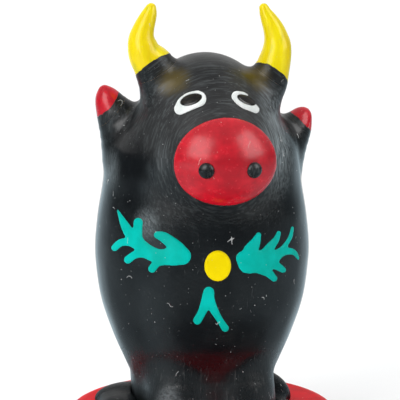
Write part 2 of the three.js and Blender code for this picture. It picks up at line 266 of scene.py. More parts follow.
def bull(p):
    """The whole carving, horns, ears and tail included."""
    shape = smooth_union(torso(p), head(p), BLEND["head"])
    for kind, lines in (("ear", EAR_LINES), ("horn", HORN_LINES)):
        for line in lines.values():
            shape = smooth_union(shape, limb(p, line), BLEND[kind])
    shape = smooth_union(shape, rump(p), BLEND["rump"])
    shape = smooth_union(shape, forelegs(p), BLEND["forelegs"])
    shape = smooth_cut(shape, leg_groove(p), BLEND["leg_groove"])
    shape = smooth_union(shape, tail_root(p), BLEND["tail_root"])
    shape = smooth_union(shape, limb(p, tail_line()), BLEND["tail"])
    muzzle_flat = MUZZLE_END - p[..., 1]
    return -smooth_union(-shape, -muzzle_flat, BLEND["muzzle_edge"])


# ---- from a field to a mesh ----

def gradient(field, p, step=0.02):
    out = np.empty_like(p)
    for axis in range(p.shape[-1]):
        shift = np.zeros(p.shape[-1])
        shift[axis] = step
        out[..., axis] = (field(p + shift) - field(p - shift)) / (2 * step)
    return out


SETTLING_STEPS = 3


def surface_net(field, low, high, step):
    """Points and quads of the field's zero surface, on a grid, then settled exactly onto the surface."""
    axes = [np.arange(a, b + step, step) for a, b in zip(low, high)]
    grid = np.stack(np.meshgrid(*axes, indexing="ij"), axis=-1)
    value = np.concatenate([field(slab[None]) for slab in grid])
    inside = value < 0
    cells = tuple(n - 1 for n in value.shape)
    total = np.zeros(cells + (3,))
    count = np.zeros(cells)
    corners = [(i, j, k) for i in (0, 1) for j in (0, 1) for k in (0, 1)]

    def part(array, corner):
        return array[tuple(slice(c, c + n) for c, n in zip(corner, cells))]

    for a in corners:
        for axis in range(3):
            if a[axis]:
                continue
            b = tuple(1 if n == axis else c for n, c in enumerate(a))
            va, vb = part(value, a), part(value, b)
            crossing = part(inside, a) != part(inside, b)
            share = np.where(crossing, va / np.where(crossing, va - vb, 1), 0)
            for n in range(3):
                total[..., n] += crossing * (a[n] + (share if n == axis else 0))
            count += crossing
    used = count > 0
    index = np.full(cells, -1)
    index[used] = np.arange(used.sum())
    places = np.argwhere(used) + total[used] / count[used][:, None]
    points = np.array([a[0] for a in axes]) + places * step
    quads = []
    for axis in range(3):
        u, v = (axis + 1) % 3, (axis + 2) % 3
        here = [slice(None)] * 3
        here[axis] = slice(0, -1)
        there = [slice(None)] * 3
        there[axis] = slice(1, None)
        first, second = inside[tuple(here)], inside[tuple(there)]
        for flip, edges in ((False, first & ~second), (True, ~first & second)):
            at = np.argwhere(edges)
            at = at[(at[:, u] > 0) & (at[:, v] > 0)]
            ring = []
            for du, dv in ((1, 1), (0, 1), (0, 0), (1, 0)):
                cell = at.copy()
                cell[:, u] -= du
                cell[:, v] -= dv
                ring.append(index[tuple(cell.T)])
            quad = np.column_stack(ring)
            quads.append(quad[:, ::-1] if flip else quad)
    for _ in range(SETTLING_STEPS):
        slope = gradient(field, points)
        size = np.maximum((slope * slope).sum(-1), 0.05)
        move = -(field(points) / size)[:, None] * slope
        points = points + np.clip(move, -step, step)
    return points, np.vstack(quads)


def bmesh_of(points, faces):
    bm = bmesh.new()
    verts = [bm.verts.new(p) for p in points.tolist()]
    for face in faces.tolist():
        bm.faces.new([verts[i] for i in face])
    bm.normal_update()
    return bm


def link_object(name, data):
    thing = bpy.data.objects.new(name, data)
    bpy.context.scene.collection.objects.link(thing)
    return thing


SHARP_ANGLE = 0.6  # radians between faces, from which an edge is shaded as a crease


def finish_mesh(name, bm):
    """A smooth-shaded object in metres from a bmesh in millimetres."""
    for edge in bm.edges:
        edge.smooth = edge.calc_face_angle(0.0) < SHARP_ANGLE
    bmesh.ops.scale(bm, vec=(MM, MM, MM), verts=bm.verts)
    mesh = bpy.data.meshes.new(name)
    bm.to_mesh(mesh)
    bm.free()
    mesh.polygons.foreach_set("use_smooth", [True] * len(mesh.polygons))
    return link_object(name, mesh)


GRID = 0.42
HAIRLINE = 0.008  # half of the gap that shows where a piece meets the body
CUT_REACH = 10.0  # faces further than this from a seat are left whole
ON_PLANE = 1e-5  # points closer than this to a cutting plane count as on it
SEAT_LIFT = {"horn": 0.15, "ear": 1.0, "tail": 1.0}  # how far out of the CAD seat the visible joint runs
BORE_SIDES = 28
BORE_PLAY = 0.12
BORE_SPARE = 0.3  # how much deeper a bore in the body is than its dowel


def take_off(bm, info, offset, tip):
    """Cuts round one piece's seat. Returns the faces on the tip's side of the cut."""
    centre = Vector(info["cut"] + offset * info["pull"])
    near = [f for f in bm.faces if (f.calc_center_median() - centre).length < CUT_REACH]
    edges = list({e for f in near for e in f.edges})
    verts = list({v for f in near for v in f.verts})
    made = bmesh.ops.bisect_plane(bm, geom=verts + edges + near, plane_co=centre,
                                  plane_no=Vector(info["pull"]), dist=ON_PLANE)
    cut_edges = {g for g in made["geom_cut"] if isinstance(g, bmesh.types.BMEdge)}
    start = min(bm.faces, key=lambda f: (f.calc_center_median() - Vector(tip)).length_squared)
    found = {start}
    queue = [start]
    while queue:
        for edge in queue.pop().edges:
            if edge not in cut_edges:
                fresh = [f for f in edge.link_faces if f not in found]
                found.update(fresh)
                queue.extend(fresh)
    return found


def cap_with_bore(bm, centre, outward, radius, depth):
    """Closes the one open cut with a flat face that has a round bore in its middle."""
    rim = [e for e in bm.edges if len(e.link_faces) == 1]
    mouth = [bm.verts.new(p) for p in circle(centre, outward, radius, BORE_SIDES)]
    following = mouth[1:] + mouth[:1]
    ring = [bm.edges.new(pair) for pair in zip(mouth, following)]
    filled = bmesh.ops.triangle_fill(bm, use_beauty=True, edges=rim + ring, normal=Vector(outward))
    inner = [f for f in filled["geom"] if isinstance(f, bmesh.types.BMFace)]
    floor = [bm.verts.new(np.array(v.co) - depth * outward) for v in mouth]
    for a, b, c, d in zip(mouth, following, floor[1:] + floor[:1], floor):
        inner.append(bm.faces.new((a, b, c, d)))
    inner.append(bm.faces.new(floor))
    for face in inner:
        face.material_index = 1
    bmesh.ops.recalc_face_normals(bm, faces=bm.faces)


def circle(centre, normal, radius, count):
    across = np.cross(normal, UP if abs(normal[2]) < 0.9 else FRONT)
    across /= np.linalg.norm(across)
    other = np.cross(normal, across)
    angles = np.arange(count) * 2 * math.pi / count
    return centre + radius * (np.cos(angles)[:, None] * across + np.sin(angles)[:, None] * other)


def carve():
    """The body, and each piece that pulls off it, cut from one continuous carving."""
    low = (-23.5, MUZZLE_END - 1.5, BASE_TOP - 2)
    high = (23.5, 28.0, 93.5)
    whole = bmesh_of(*surface_net(bull, low, high, GRID))
    lines = {**HORN_LINES, **EAR_LINES, "tail": tail_line()}
    tips = {name: line[-1][:3] for name, line in lines.items()}
    pieces = {}
    for name, info in PULLED.items():
        kind, pull = info["kind"], info["pull"]
        info["cut"] = info["seat"] + SEAT_LIFT[kind] * pull
        piece = whole.copy()
        kept = take_off(piece, info, HAIRLINE, tips[name])
        bmesh.ops.delete(piece, geom=[f for f in piece.faces if f not in kept], context="FACES")
        in_piece = DOWEL_IN_BODY[kind] - 2 * DOWEL_SHIFT[kind]
        depth = in_piece - SEAT_LIFT[kind] + BORE_PLAY
        radius = DOWEL_RADIUS[kind] + BORE_PLAY / 4
        cap_with_bore(piece, info["cut"] + HAIRLINE * pull, -pull, radius, depth)
        pieces[name] = piece
    for name, info in PULLED.items():
        kind, pull = info["kind"], info["pull"]
        lost = take_off(whole, info, -HAIRLINE, tips[name])
        bmesh.ops.delete(whole, geom=list(lost), context="FACES")
        depth = DOWEL_IN_BODY[kind] + SEAT_LIFT[kind] + BORE_SPARE
        cap_with_bore(whole, info["cut"] - HAIRLINE * pull, pull, DOWEL_RADIUS[kind] + BORE_PLAY, depth)
    flatten_below(whole, BASE_TOP)
    return whole, pieces


def flatten_below(bm, height):
    """Cuts a piece off flat at a height and closes it."""
    made = bmesh.ops.bisect_plane(bm, geom=list(bm.verts) + list(bm.edges) + list(bm.faces), dist=ON_PLANE,
                                  plane_co=(0, 0, height), plane_no=(0, 0, -1), clear_outer=True)
    rim = [g for g in made["geom_cut"] if isinstance(g, bmesh.types.BMEdge)]
    filled = bmesh.ops.triangle_fill(bm, use_beauty=True, edges=rim, normal=Vector((0, 0, -1)))
    for face in filled["geom"]:
        if isinstance(face, bmesh.types.BMFace):
            face.material_index = 1
    bmesh.ops.recalc_face_normals(bm, faces=bm.faces)


# ---- turned and pinned pieces ----

def spin(profile, sides, wobble=None):
    """A closed piece turned about +Z from (radius, height) pairs that go up the outside."""
    angles = np.arange(sides) * 2 * math.pi / sides
    bm = bmesh.new()
    loops = []
    for radius, height in profile:
        r = radius + (wobble(angles, height) if wobble else 0)
        ring = np.column_stack([r * np.cos(angles), r * np.sin(angles), np.full(sides, height)])
        loops.append([bm.verts.new(p) for p in ring.tolist()])
    for lower, upper in zip(loops[:-1], loops[1:]):
        for a, b, c, d in zip(lower, lower[1:] + lower[:1], upper[1:] + upper[:1], upper):
            bm.faces.new((a, b, c, d))
    for loop, height, flip in ((loops[0], profile[0][1], True), (loops[-1], profile[-1][1], False)):
        pole = bm.verts.new((0, 0, height))
        for a, b in zip(loop, loop[1:] + loop[:1]):
            bm.faces.new((b, a, pole) if flip else (a, b, pole))
    bm.normal_update()
    return bm


def quarter(centre, radius, start, end, steps):
    """Points of an arc in the profile plane, angles in degrees from the radius axis."""
    angles = [math.radians(a) for a in np.linspace(start, end, steps)]
    return [(centre[0] + radius * math.cos(a), centre[1] + radius * math.sin(a)) for a in angles]


def aimed(bm, centre, direction):
    """Turns a piece made along +Z to point along a direction, and moves it into place."""
    turn = Vector((0, 0, 1)).rotation_difference(Vector(direction)).to_matrix().to_4x4()
    bmesh.ops.transform(bm, matrix=Matrix.Translation(Vector(centre)) @ turn, verts=bm.verts)
    return bm


FLUTES, FLUTE_DEPTH, CHAMFER = 10, 0.10, 0.35


def dowel(name, direction, radius):
    """A fluted wooden pin with chamfered ends, in the place of the CAD bar."""
    low, high = box_mm(name)
    direction = np.array(direction, float)
    reach = np.abs(direction)
    widest = np.argmax(reach)
    side = radius * math.sqrt(max(0.0, 1 - reach[widest] ** 2))
    length = (high[widest] - low[widest] - 2 * side) / reach[widest]
    half = length / 2

    def fluting(angles, height):
        deep = FLUTE_DEPTH if abs(height) < half - 1.5 * CHAMFER else 0.0
        return -deep * (0.5 - 0.5 * np.cos(FLUTES * angles)) ** 3

    upper = [(radius, half - 2 * CHAMFER), (radius, half - CHAMFER), (radius - CHAMFER, half)]
    profile = [(r, -height) for r, height in upper[::-1]] + upper
    return aimed(spin(profile, FLUTES * 8, wobble=fluting), (low + high) / 2, direction)


SNOUT_HALF = (SNOUT_HIGH - SNOUT_LOW) / 2
SNOUT_BACK = SNOUT_HIGH[1]
SNOUT_RIM = 0.7
# The carver's unevenness round the edge: size as a share of the half-width, waves, and their start.
SNOUT_WAVES = [(0.008, 2, 0.8), (0.006, 3, 2.0), (0.003, 5, 0.0)]


def snout_profile():
    """Share of the half-width, and how far out of the seat, from the back to the middle of the face."""
    thickness = SNOUT_HIGH[1] - SNOUT_LOW[1]
    points = [(0.96, 0.0), (0.99, 0.12), (1.0, 0.3), (1.0, SNOUT_RIM)]
    steps = 22
    for i in range(1, steps):
        t = i / steps
        share = math.cos(t * math.pi / 2)
        rise = 0.84 * (1 - share ** 2) + 0.16 * (1 - share ** 6) ** 0.5
        points.append((share, SNOUT_RIM + (thickness - SNOUT_RIM) * rise))
    return points


def snout():
    def uneven(angles, height):
        return sum(size * np.cos(count * angles + start) for size, count, start in SNOUT_WAVES)

    bm = spin(snout_profile(), 96, wobble=uneven)
    for v in bm.verts:
        x, y, out = v.co
        across, up = x * SNOUT_HALF[0], y * SNOUT_HALF[2]
        v.co = (across + SNOUT_CENTRE[0], SNOUT_BACK - out, up + SNOUT_CENTRE[2])
    bmesh.ops.recalc_face_normals(bm, faces=bm.faces)
    return bm


STUD_DOME = 0.95  # height of the rounded part
STUD_SUNK = 0.12
STUD_SLANT = {"right": -20, "left": 20}  # degrees each faces outward
STUD_LIFT = {"right": 0.25, "left": 0.0}


def nostril(side):
    """A small domed stud on a pin, let into the snout and turned out with its slope."""
    low, high = box_mm(side + "_nostril_stud")
    x, _, z = (low + high) / 2
    radius = (high[0] - low[0]) / 2
    profile = [(radius * 0.5, -2.8), (radius * 0.5, -1.8), (radius * 0.98, -1.7), (radius, -1.2),
               (radius, 0.0)]
    profile += [(radius * math.cos(a), STUD_DOME * math.sin(a)) for a in np.linspace(0.15, 1.45, 9)]
    centre = (x, low[1] + STUD_DOME + STUD_SUNK, z + STUD_LIFT[side])
    slant = math.radians(STUD_SLANT[side])
    return aimed(spin(profile, 40), centre, (math.sin(slant), -math.cos(slant), 0))


def base():
    """The turned base: flat top, full round edge, small round at the foot."""
    radius = BASE_HIGH[0]
    top, foot = 3.5, 2.0
    profile = [(radius - foot - 2, BASE_LOW[2])]
    profile += quarter((radius - foot, BASE_LOW[2] + foot), foot, -90, 0, 8)
    profile += quarter((radius - top, BASE_TOP - top), top, 0, 90, 16)
    turning_marks = np.arange(radius - top - 0.6, 1.0, -0.6)
    profile += [(r, BASE_TOP - 0.012 * (i % 2)) for i, r in enumerate(turning_marks)]
    return spin(profile, 160)


def felt():
    low, high = box_mm("felt_pad")
    radius, round_off = high[0], 0.2
    profile = [(radius - 3, low[2])]
    profile += quarter((radius - round_off, low[2] + round_off), round_off, -90, 0, 4)
    profile += quarter((radius - round_off, high[2] - round_off), round_off, 0, 90, 4)

    def cut_edge(angles, height):
        return 0.05 * np.cos(37 * angles) * np.cos(11 * angles + 1)

    return spin(profile, 180, wobble=cut_edge)


# Haunch and foot, as ellipsoids: middle (its height over the base) and half-sizes.
LEGS = {
    "right_hind_leg": [((-12.6, 6, 0), (8.2, 9.9, 2.9)), ((-17.4, -6, 0), (4.75, 10.9, 3.35))],
    "left_hind_leg": [((11.4, 5, 0), (7.5, 9.95, 5.3)), ((12.8, -9, 0), (5.35, 8.95, 2.45))],
}


LEG_BLEND = 2.0
LEG_GAP = 0.06  # between a hind leg and the body


def hind_leg(name):
    def leg(p):
        parts = [ellipsoid(p, over_base(*place), size) for place, size in LEGS[name]]
        shape = smooth_union(*parts, LEG_BLEND)
        return smooth_cut(shape, bull(p) - LEG_GAP, 0.5)

    low, high = box_mm(name)
    bm = bmesh_of(*surface_net(leg, low - (1, 1, 2), high + (1, 1, 1), GRID))
    flatten_below(bm, BASE_TOP)
    return bm


# ---- raised enamel ----

TURN, TILT = math.radians(10), math.radians(12.5)
ACROSS = np.array([math.cos(TURN), -math.sin(TURN), 0.0])
TOWARDS = np.array([-math.sin(TURN) * math.cos(TILT), -math.cos(TURN) * math.cos(TILT), math.sin(TILT)])
FACE_ON = (ACROSS, np.cross(TOWARDS, ACROSS), TOWARDS)
FROM_BEHIND = (np.array([-1.0, 0, 0]), np.array([0, 0, 1.0]), np.array([0, 1.0, 0]))

ENAMEL_GRID = 0.14
ENAMEL_SUNK = 0.03
ENAMEL_BACK = 0.12
TRACING_STEPS = 40
START_OUT = 30.0  # how far out of the body its points start before they slide onto it
FURTHEST_TRACE = 60.0


def onto_body(points, towards):
    """Slides points along a line until they lie on the carving."""
    reach = np.zeros(len(points))
    for _ in range(TRACING_STEPS):
        reach += 0.9 * bull(points - reach[:, None] * towards)
    return points - np.minimum(reach, FURTHEST_TRACE)[:, None] * towards


def enamel(outline, extent, where, skin):
    """A skin of thick paint: the outline field, in a plane, laid onto the body with a rounded edge."""
    thickness, rounding = skin
    anchor, (across, up, towards), scale = where
    u = np.arange(extent[0], extent[1] + ENAMEL_GRID, ENAMEL_GRID)
    v = np.arange(extent[2], extent[3] + ENAMEL_GRID, ENAMEL_GRID)
    flat = np.stack(np.meshgrid(u, v, indexing="ij"), axis=-1)
    value = outline(flat)
    middle_value = (value[:-1, :-1] + value[1:, :-1] + value[1:, 1:] + value[:-1, 1:]) / 4
    kept = middle_value < 0
    index = np.arange(value.size).reshape(value.shape)
    cells = np.stack([index[:-1, :-1], index[1:, :-1], index[1:, 1:], index[:-1, 1:]], axis=-1)
    quads = cells[kept]
    touches_kept = np.zeros(value.size, bool)
    touches_kept[quads] = True
    touches_open = np.zeros(value.size, bool)
    touches_open[cells[~kept]] = True
    used = np.where(touches_kept)[0]
    edge = touches_open[used]
    order = np.full(value.size, -1)
    order[used] = np.arange(len(used))
    quads = order[quads]
    spots = flat.reshape(-1, 2)[used]
    for _ in range(SETTLING_STEPS):
        slope = gradient(outline, spots[edge])
        size = np.maximum((slope * slope).sum(-1), 0.1)
        move = -(outline(spots[edge]) / size)[:, None] * slope
        spots[edge] += np.clip(move, -0.5 * ENAMEL_GRID, 0.5 * ENAMEL_GRID)
    depth = np.clip(-outline(spots) / rounding, 0, 1)
    height = thickness * np.sqrt(1 - (1 - depth) ** 2)
    height[edge] = -ENAMEL_SUNK
    start = anchor + scale * (spots[:, :1] * across + spots[:, 1:] * up) + START_OUT * towards
    ground = onto_body(start, towards)
    normal = gradient(bull, ground)
    normal /= np.linalg.norm(normal, axis=1)[:, None]
    top = ground + height[:, None] * normal
    back = (ground - ENAMEL_BACK * normal)[~edge]
    back_index = np.arange(len(used))
    back_index[~edge] = len(used) + np.arange((~edge).sum())
    faces = np.vstack([quads, back_index[quads][:, ::-1]])
    both_on_edge = edge[quads].all(axis=1)
    doubled = np.concatenate([np.zeros(len(quads), bool), both_on_edge])
    return bmesh_of(np.vstack([top, back]), faces[~doubled])


def strokes(*lines, blend=0.5):
    """An outline field made of tapered strokes that run into each other."""
    def outline(p):
        shape = limb(p, lines[0], steps=3)
        for line in lines[1:]:
            shape = smooth_union(shape, limb(p, line, steps=3), blend)
        return shape
    return outline


def ellipse_outline(centre, radii, turn=0.0):
    turn = math.radians(turn)
    axes = np.array([[math.cos(turn), math.sin(turn)], [-math.sin(turn), math.cos(turn)]])
    return lambda p: ellipsoid((p - np.array(centre)) @ axes.T, (0, 0), radii)


def bounds_of(*lines):
    points = np.array([q for line in lines for q in line])
    reach = points[:, 2].max() + 0.6
    return (points[:, 0].min() - reach, points[:, 0].max() + reach,
            points[:, 1].min() - reach, points[:, 1].max() + reach)


# Strokes are (across, up, half-width) in millimetres from the yellow dot's middle.
RIGHT_SPRIG = [
    [(-20.2, 11.2, 0.15), (-18.8, 8.3, 0.85), (-17.6, 6.3, 1.1), (-16.2, 4.8, 1.2)],
    [(-16.0, 8.7, 0.95), (-16.1, 7.2, 0.95), (-16.3, 5.4, 1.2)],
    [(-20.8, 3.6, 0.7), (-19.6, 4.6, 0.76), (-17.9, 4.8, 0.85), (-16.2, 4.4, 1.1)],
    [(-16.2, 4.8, 1.2), (-14.0, 2.8, 1.45), (-11.6, 1.9, 1.45), (-9.2, 1.9, 1.85), (-7.1, 1.9, 1.65)],
    [(-18.1, 1.2, 0.8), (-16.7, 2.2, 0.8), (-15.0, 2.8, 1.1)],
    [(-13.2, -0.6, 0.8), (-12.2, 0.6, 0.85), (-10.9, 1.5, 1.3)],
    [(-12.1, 6.2, 0.75), (-10.9, 5.8, 1.05), (-9.4, 4.7, 1.25), (-8.0, 3.4, 1.45), (-7.1, 2.1, 1.6)],
]
LEFT_SPRIG = [
    [(5.1, 1.5, 1.45), (5.8, -0.1, 1.4), (8.0, 0.8, 2.15), (10.2, 1.1, 1.85), (11.6, 1.9, 1.1)],
    [(8.2, 6.2, 0.55), (7.6, 4.7, 1.0), (6.6, 3.0, 1.5), (6.4, 1.6, 1.6)],
    [(12.3, 6.6, 0.42), (11.8, 5.3, 0.66), (10.7, 3.9, 0.9), (9.7, 2.4, 1.2)],
    [(15.1, 7.6, 0.3), (14.7, 5.8, 0.42), (13.8, 4.3, 0.48), (12.8, 2.8, 0.85), (11.3, 1.7, 1.1)],
    [(12.8, 2.7, 0.76), (14.5, 2.9, 0.7), (15.6, 2.5, 0.52), (16.3, 1.4, 0.28)],
    [(10.6, 0.6, 0.9), (11.8, 0.0, 0.85), (13.2, -0.9, 0.62)],
    [(8.9, -0.5, 1.3), (10.2, -1.4, 0.92), (11.4, -2.6, 0.66)],
]
FORK = [
    [(-1.8, -5.3, 1.12), (-2.6, -8.0, 1.0), (-3.3, -9.6, 0.85), (-4.1, -11.0, 0.86)],
    [(-1.8, -6.1, 1.0), (-1.0, -8.4, 0.9), (0.3, -10.7, 0.68), (1.5, -12.6, 0.76)],
]
# Thickness of each skin of paint, and how far in from its edge it is rounded.
SPRIG_SKIN, DOT_SKIN, WHITE_SKIN, PUPIL_SKIN = (0.2, 0.4), (0.28, 0.5), (0.16, 0.25), (0.1, 0.3)
DOT_RADII = (2.7, 3.1)
DOT_HEIGHT = 33.15  # of the dot's middle over the base

# Eyes are in millimetres from the middle of the head, seen in the same plane.
EYES = {
    "right_eye": {
        "white": [[(-4.35, 0.45, 1.15), (-2.45, 1.6, 1.45), (-0.72, 2.45, 1.58)],
                  [(-4.6, 0.9, 0.6), (-4.4, 1.9, 0.52), (-3.4, 2.85, 0.5), (-2.2, 3.4, 0.5),
                   (-1.0, 3.5, 0.5)]],
        "pupil": ((-2.16, 2.32), (2.22, 1.06), 18),
    },
    "left_eye": {
        "white": [[(6.8, 2.95, 1.0), (7.6, 2.3, 1.18), (8.7, 1.7, 1.3), (9.9, 0.9, 0.98),
                   (10.62, 0.38, 0.76)],
                  [(6.8, 3.3, 0.6), (7.4, 3.6, 0.36), (8.1, 3.62, 0.3), (9.0, 3.3, 0.14)]],
        "pupil": ((8.8, 2.28), (1.98, 0.8), -24),
    },
}
PUPIL_GAP = 0.03
EYES_HEIGHT = 60.0  # of that middle over the base


def eye_white(eye):
    white, pupil = strokes(*eye["white"]), ellipse_outline(*eye["pupil"])
    return lambda p: smooth_cut(white(p), pupil(p), 0.15)


def paint_pieces():
    """Every raised patch of enamel: its name, mesh and material."""
    out = BODY_HALF_WIDTH * TORSO_DEPTH
    chest = (over_base(-0.38, -out, DOT_HEIGHT), FACE_ON, 0.985)
    back = (over_base(0, out, DOT_HEIGHT + 4), FROM_BEHIND, 0.8)
    dot = ellipse_outline((0, 0), DOT_RADII)
    for place, where in (("chest", chest), ("back", back)):
        for name, lines in (("right_sprig", RIGHT_SPRIG), ("left_sprig", LEFT_SPRIG), ("fork", FORK)):
            patch = enamel(strokes(*lines), bounds_of(*lines), where, SPRIG_SKIN)
            yield f"{place}_{name}", patch, "teal"
        yield f"{place}_dot", enamel(dot, (-3.5, 3.5, -4, 4), where, DOT_SKIN), "yellow_dot"
    head_middle = (over_base(0, 0, EYES_HEIGHT), FACE_ON, 1.0)
    for name, eye in EYES.items():
        patch = enamel(eye_white(eye), bounds_of(*eye["white"]), head_middle, WHITE_SKIN)
        yield f"{name}_white", patch, "white"
        centre, radii, turn = eye["pupil"]
        pupil = ellipse_outline(centre, (radii[0] - PUPIL_GAP, radii[1] - PUPIL_GAP), turn)
        x, y, reach = *centre, radii[0] + 0.5
        extent = (x - reach, x + reach, y - reach, y + reach)
        yield f"{name}_pupil", enamel(pupil, extent, head_middle, PUPIL_SKIN), "pupil"


# ---- materials ----

GLOSSY = {"IOR": 1.5}
SPECULAR = "Specular IOR Level"  # 0.5 is plain gloss
SATIN = {**GLOSSY, SPECULAR: 0.04}
HORN_GLOSS = {**GLOSSY, SPECULAR: 0.34}
LEG_GLOSS = {**GLOSSY, SPECULAR: 0.012}
BASE_GLOSS = {**GLOSSY, SPECULAR: 0.03}


class Value:
    """A number, vector or colour in a material. Numbers can be added, subtracted and multiplied."""

    def __init__(self, look, socket):
        self.look, self.socket = look, socket

    def __add__(self, other):
        return self.look.math("ADD", self, other)

    def __sub__(self, other):
        return self.look.math("SUBTRACT", self, other)

    def __mul__(self, other):
        return self.look.math("MULTIPLY", self, other)


class Look:
    """Builds one procedural material. Places and lengths are millimetres in the row frame."""

    def __init__(self, name, uniform=GLOSSY):
        self.material = bpy.data.materials.new(name)
        self.material.use_nodes = True
        self.tree = self.material.node_tree
        self.shader = self.tree.nodes["Principled BSDF"]
        for socket, value in uniform.items():
            self.shader.inputs[socket].default_value = value
        metres = self.node("ShaderNodeTexCoord", {}, "Object")
        self.place = self.vector("SCALE", metres, scale=1 / MM)
        self.x, self.y, self.z = self.parts(self.place)
        self.height = self.z - BASE_TOP

    def link(self, value, socket):
        if isinstance(value, Value):
            self.tree.links.new(value.socket, socket)
        else:
            socket.default_value = (*value, 1.0) if socket.type == "RGBA" else value

    def node(self, kind, inputs, out=0, **settings):
        node = self.tree.nodes.new(kind)
        for key, value in settings.items():
            setattr(node, key, value)
        for key, value in inputs.items():
            if value is not None:
                self.link(value, node.inputs[key])
        return Value(self, node.outputs[out])

    def math(self, operation, a, b=None):
        return self.node("ShaderNodeMath", {0: a, 1: b}, operation=operation)

    def vector(self, operation, a, b=None, scale=None, out=0):
        return self.node("ShaderNodeVectorMath", {0: a, 1: b, "Scale": scale}, out, operation=operation)

    def length(self, vector):
        return self.vector("LENGTH", vector, out="Value")

    def parts(self, vector):
        node = self.tree.nodes.new("ShaderNodeSeparateXYZ")
        self.link(vector, node.inputs[0])
        return [Value(self, socket) for socket in node.outputs]

    def join(self, x, y, z):
        return self.node("ShaderNodeCombineXYZ", {0: x, 1: y, 2: z})

    def moved(self, centre):
        return self.vector("SUBTRACT", self.place, tuple(centre))

    def stretched(self, sizes, at=None):
        """Coordinates in units of one length, or of three, one for each axis."""
        sizes = (sizes,) * 3 if isinstance(sizes, float) else tuple(sizes)
        return self.vector("DIVIDE", at or self.place, sizes)

    def noise(self, at, detail=2.0, roughness=0.5, distortion=0.0):
        return self.node("ShaderNodeTexNoise", {"Vector": at, "Scale": 1.0, "Detail": detail,
                                                "Roughness": roughness, "Distortion": distortion})

    def cells(self, at, out):
        return self.node("ShaderNodeTexVoronoi", {"Vector": at, "Scale": 1.0}, out)

    def ramp(self, value, start, end, low=0.0, high=1.0):
        """Goes smoothly from low at start to high at end."""
        return self.node("ShaderNodeMapRange", {"Value": value, "From Min": start, "From Max": end,
                                                "To Min": low, "To Max": high},
                         interpolation_type="SMOOTHSTEP")

    def mix(self, share, a, b):
        """Blends two numbers."""
        return self.node("ShaderNodeMix", {"Factor": share, "A": a, "B": b})

    def tint(self, share, a, b):
        """Blends two colours, which have their own sockets on the node."""
        factor, colour_a, colour_b, result = 0, 6, 7, 2
        return self.node("ShaderNodeMix", {factor: share, colour_a: a, colour_b: b}, result,
                         data_type="RGBA")

    def specks(self, cell, chosen_above, largest):
        """Spots of mixed sizes, each in a cell this wide. Their sizes are shares of a cell."""
        at = self.stretched(cell)
        chance = self.parts(self.cells(at, "Color"))[0]
        size = self.ramp(chance, chosen_above, 1.0) * largest
        return self.ramp(size - self.cells(at, "Distance"), -0.012, 0.012)

    def wear(self):
        """Dust and lint, thicker near the feet: 1 where a bit lies on the paint."""
        sparse = self.ramp(self.height, 20, 10, 0.60, 0.44)
        on_base = self.ramp(self.height, 0.5, 0.0, 0.0, 0.7)
        dust = self.specks(1.5, self.math("MAXIMUM", sparse, on_base), 0.085)
        fine = self.specks(0.75, 0.52, 0.105)
        curl = self.noise(self.stretched(1.7), detail=0.0)
        hair = self.ramp(self.math("ABSOLUTE", curl - 0.5), 0.022, 0.008)
        few = self.ramp(self.height, 20, 10, 0.84, 0.66)
        lint = hair * self.specks(2.4, few, 0.34)
        return self.math("MAXIMUM", self.math("MAXIMUM", dust, lint), fine * 0.65)

    def finish(self, surface):
        colour, roughness, height = surface
        bump = self.node("ShaderNodeBump", {"Distance": MM, "Height": height}, "Normal")
        for socket, value in (("Base Color", colour), ("Roughness", roughness), ("Normal", bump)):
            self.link(value, self.shader.inputs[socket])
        return self.material


def over(look, mask, top, under):
    """One surface (colour, roughness, height in millimetres) painted over another where the mask is 1."""
    return (look.tint(mask, under[0], top[0]), look.mix(mask, under[1], top[1]),
            look.mix(mask, under[2], top[2]))


WARM_BLACK, COOL_BLACK = (0.0028, 0.0034, 0.0042), (0.0065, 0.0078, 0.0086)
# The first grey is brush haze and painted sheen; the last is the grey of the painted highlights.
HAZE_AND_SHEEN, SCRATCHED, HIGHLIGHT_GREY = (0.040, 0.047, 0.049), (0.11, 0.12, 0.12), (0.27, 0.315, 0.33)
LINT = (0.42, 0.43, 0.43)
# Painted highlights: grey patches, broken up by the brush, where the lacquer would reflect the lights:
# place (its height over the base), reach along each axis, and how much.
PAINTED_HIGHLIGHTS = [
    ((12.0, -12.0, 56.0), (7.4, 9.5, 13.5), 1.0),
    ((-10.0, -12.8, 54.0), (2.6, 5.0, 6.0), 0.36),
    ((-13.4, -5.0, 64.6), (3.0, 5.0, 4.5), 0.28),
    ((-13.6, -14.3, 41.0), (3.4, 5.0, 4.2), 0.42),
    ((-18.3, -3.0, 49.5), (2.2, 5.5, 6.0), 0.30),
    ((-11.8, -6.5, 71.6), (1.6, 3.0, 1.6), 0.60),
    ((-9.4, -14.2, 3.2), (3.9, 4.0, 5.8), 0.5),
]
# Painted reflection of the yellow horns in the black lacquer: olive patches on the forehead below them.
HORN_REFLECTION_OLIVE = (0.072, 0.050, 0.001)
HORN_REFLECTION_PLACES = [(-7.3, -10.3, 68.6), (8.8, -9.0, 68.5)]
HORN_REFLECTION_REACH = 4.3


